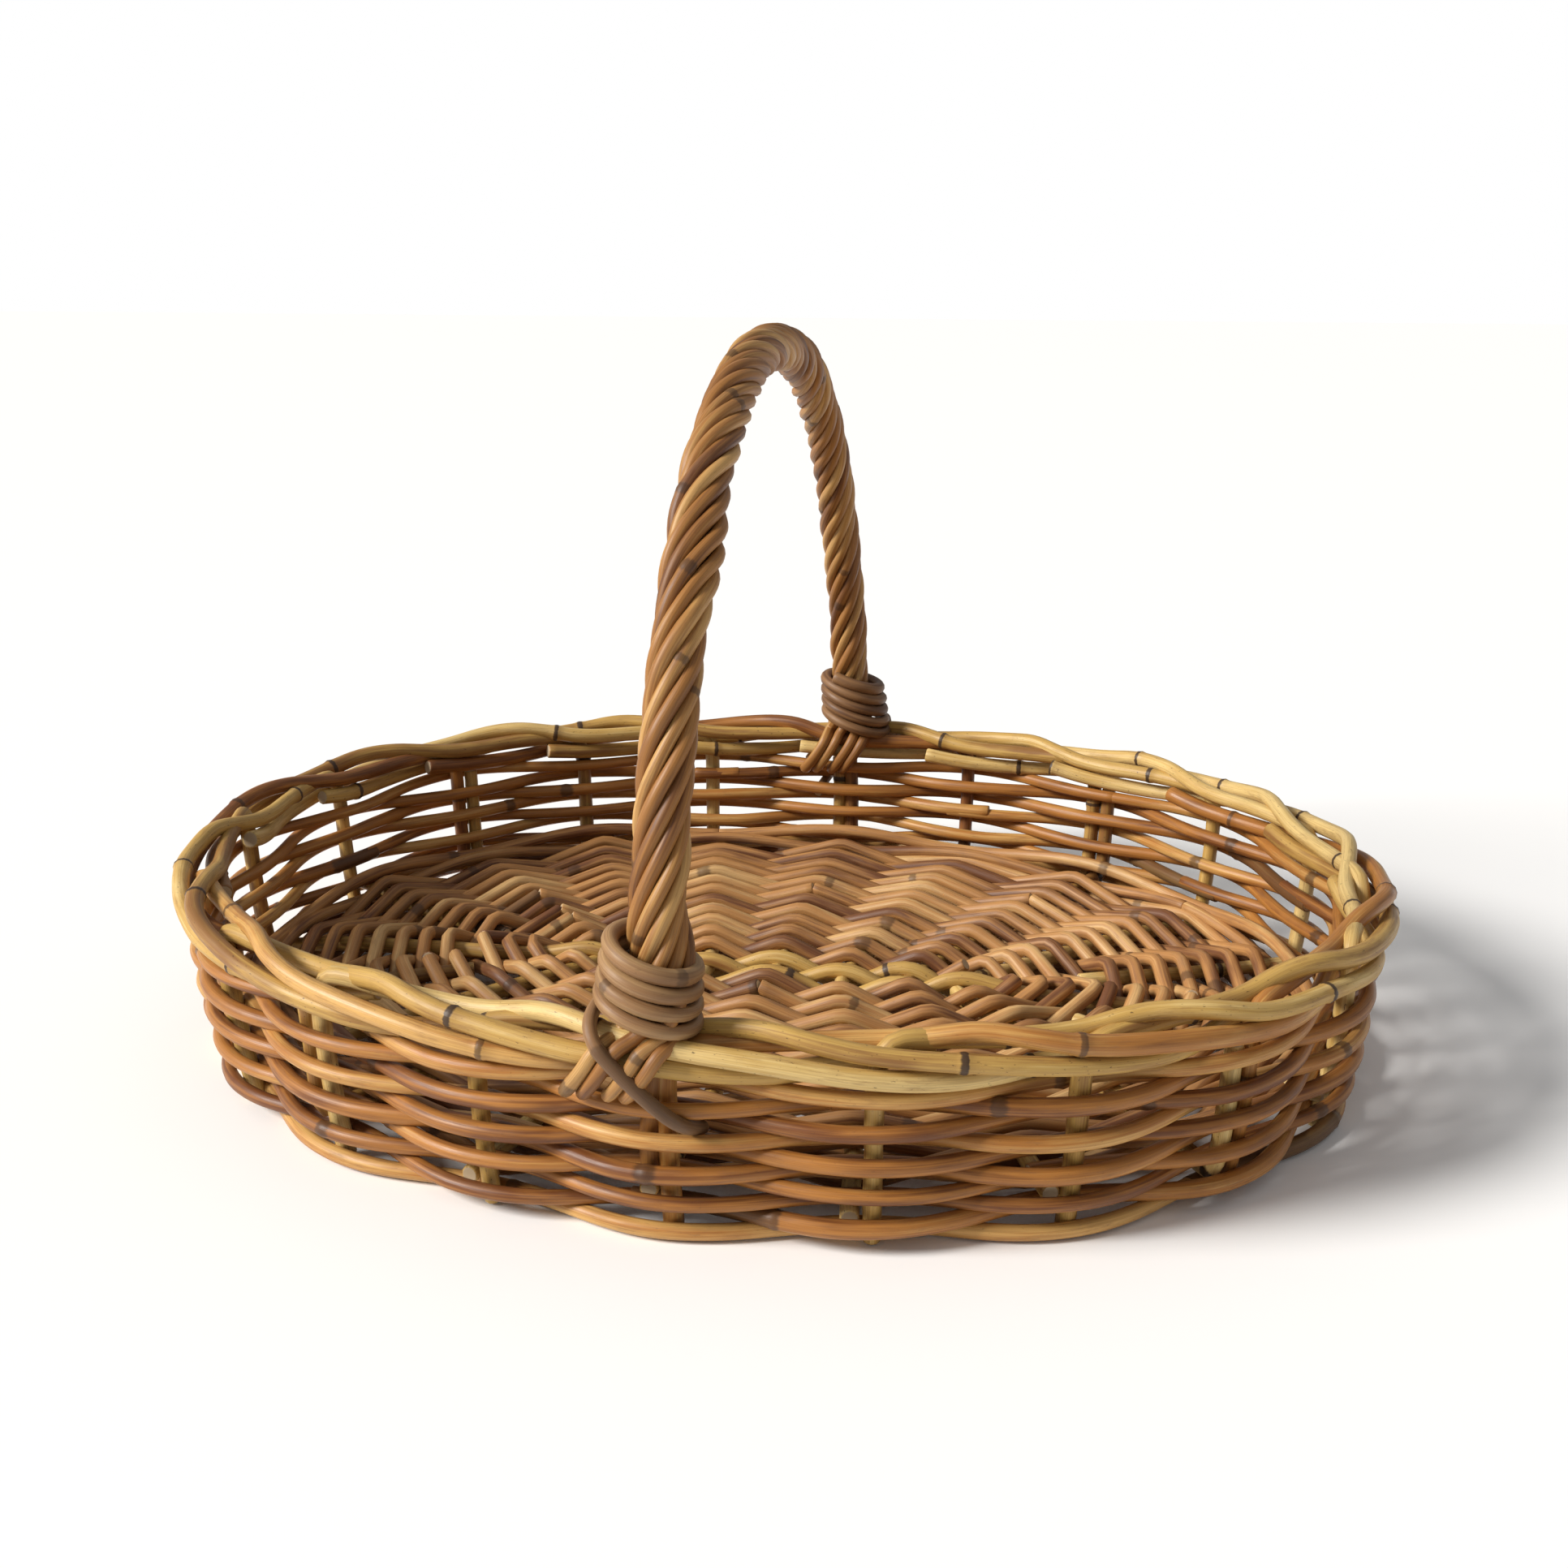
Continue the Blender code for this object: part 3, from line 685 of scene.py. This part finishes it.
def rope_point(i, start_turn, proud=0.0):
    """The place of a rope rod at this point of the bow, and how far round the bow it has turned."""
    along = (rope_axis[i + 1] - rope_axis[i - 1]).normalized()
    level = Vector((1, 0, 0))
    across = along.cross(level).normalized()
    share = (axis_reach[i] - axis_reach[wound[0]]) / wound_length
    turn = float(start_turn + 2 * pi * ROPE_TURNS * (share - 0.012 * sin(2 * pi * share)))
    from_end = min(share, 1 - share) * wound_length
    splay = max(0.0, 1 - float(from_end) / SPLAY_LENGTH) ** 2
    radius = ROPE_RADIUS * (1 - 0.09 * sin(pi * share)) + (SPLAY_RADIUS - ROPE_RADIUS) * splay + proud
    if rope_axis[i].y < 0:
        # The front leg has one rod that stands out on its inner side
        height = (rope_axis[i].z - BULGE_HEIGHT) / BULGE_HALF_LENGTH
        radius += BULGE * exp(-height ** 2) * max(0.0, cos(turn)) ** 4
    return rope_axis[i] + radius * (cos(turn) * level + sin(turn) * across), turn


def rope_path(number):
    """A rope rod's whole run, from its tucked front end round the bow to its tucked back end."""
    start_turn = 2 * pi * (number + 0.5) / ROPE_RODS
    wander = grain.uniform(0, 6.28)
    placed = [rope_point(i, start_turn, 0.0005 * sin(wander + 0.25 * i)) for i in wound[::2]]
    front_end, back_end = rope_tail(FRONT, start_turn)[::-1], rope_tail(BACK, placed[-1][1])
    return front_end + [point for point, _ in placed] + back_end


for third in range(3):
    rods = [cane_rod(rope_path(number), ROPE_ROD_DIAMETER * grain.uniform(0.88, 1.06), bend=0.02,
                     knuckle_gap=0.22, knuckle_swell=0.10, step=0.003)
            for number in range(third, ROPE_RODS, 3)]
    if third == 0:
        # One rod that ran out is tucked in at the front foot, and its torn end stands proud of the rope
        tucked = [rope_point(i, 2 * pi * 0.78, 0.0035)[0] for i in wound[2:16:2]]
        rods.append(cane_rod(tucked, ROPE_ROD_DIAMETER, tip=0.85, cut_slant=1.6))
    nodes = [f"handle_strand_{2 * third + k}" for k in (1, 2)]
    set_piece(f"rope_rods_{third + 1}", rods, rope_rod, "handle_rod", *nodes)


# Each foot of the rope is lashed with one thick soaked rod. It comes up over the border from the
# outside and winds four times round the splayed rods, leaning down to the right.
LASHING_DIAMETER = 0.0062
LASHING_TURNS = 4
LASHING_START = RIM_HEIGHT + 0.010
LASHING_PITCH = 0.0064
LASHING_TILT = 0.28
LASHING_LEFT = 0.0034
LASHING_SPLAY_LENGTH = 0.045
lashing_rod = rod_finish(
    "lashing_rod", (0.43, 0.265, 0.12), (0.27, 0.14, 0.058), (0.12, 0.055, 0.025), (0.21, 0.13, 0.075),
    shade_spread=0.5, fibre=0.5, stain_amount=0.4, speck_amount=0.2, knuckle_amount=0.5, gloss=0.50)
LASHING_TAIL = (
    (0.0170, -0.0040, -0.0335), (0.0155, 0.0040, -0.0300), (0.0110, 0.0130, -0.0240),
    (0.0020, 0.0180, -0.0130), (-0.0085, 0.0190, -0.0020), (-0.0160, 0.0180, 0.0060),
    (-0.0200, 0.0120, 0.0120),
)
for name, foot, side in (("front", FRONT, 1), ("back", BACK, -1)):
    corners = [wall(on(foot, across), WALL_RIM_OFFSET + out, RIM_HEIGHT + up)
               for across, out, up in LASHING_TAIL]
    # The last turn goes on for a third of a turn more, so that its end is behind the rope
    for step in range(12 * LASHING_TURNS + 5):
        rise = LASHING_PITCH * step / 12
        turn = pi + 2 * pi * step / 12
        height = LASHING_START + rise
        centre = min((p for p in rope_axis if side * p.y < 0), key=lambda p: abs(p.z - height))
        splay = max(0.0, 1 - rise / LASHING_SPLAY_LENGTH)
        rope_radius = ROPE_RADIUS + (SPLAY_RADIUS - ROPE_RADIUS) * splay
        radius = rope_radius + (ROPE_ROD_DIAMETER + LASHING_DIAMETER) / 2
        aside = radius * cos(turn)
        corners.append(Vector((centre.x + side * (aside - LASHING_LEFT * splay),
                               centre.y - side * radius * sin(turn),
                               height - LASHING_TILT * side * aside)))
    rods = [cane_rod(corners, 0.85 * LASHING_DIAMETER, bend=0.02, tip=1.25, knuckle_gap=0.2,
                     knuckle_swell=0.08, step=0.003, sides=12)]
    set_piece(f"{name}_lashing", rods, lashing_rod, "binding_cane", f"{name}_binding")
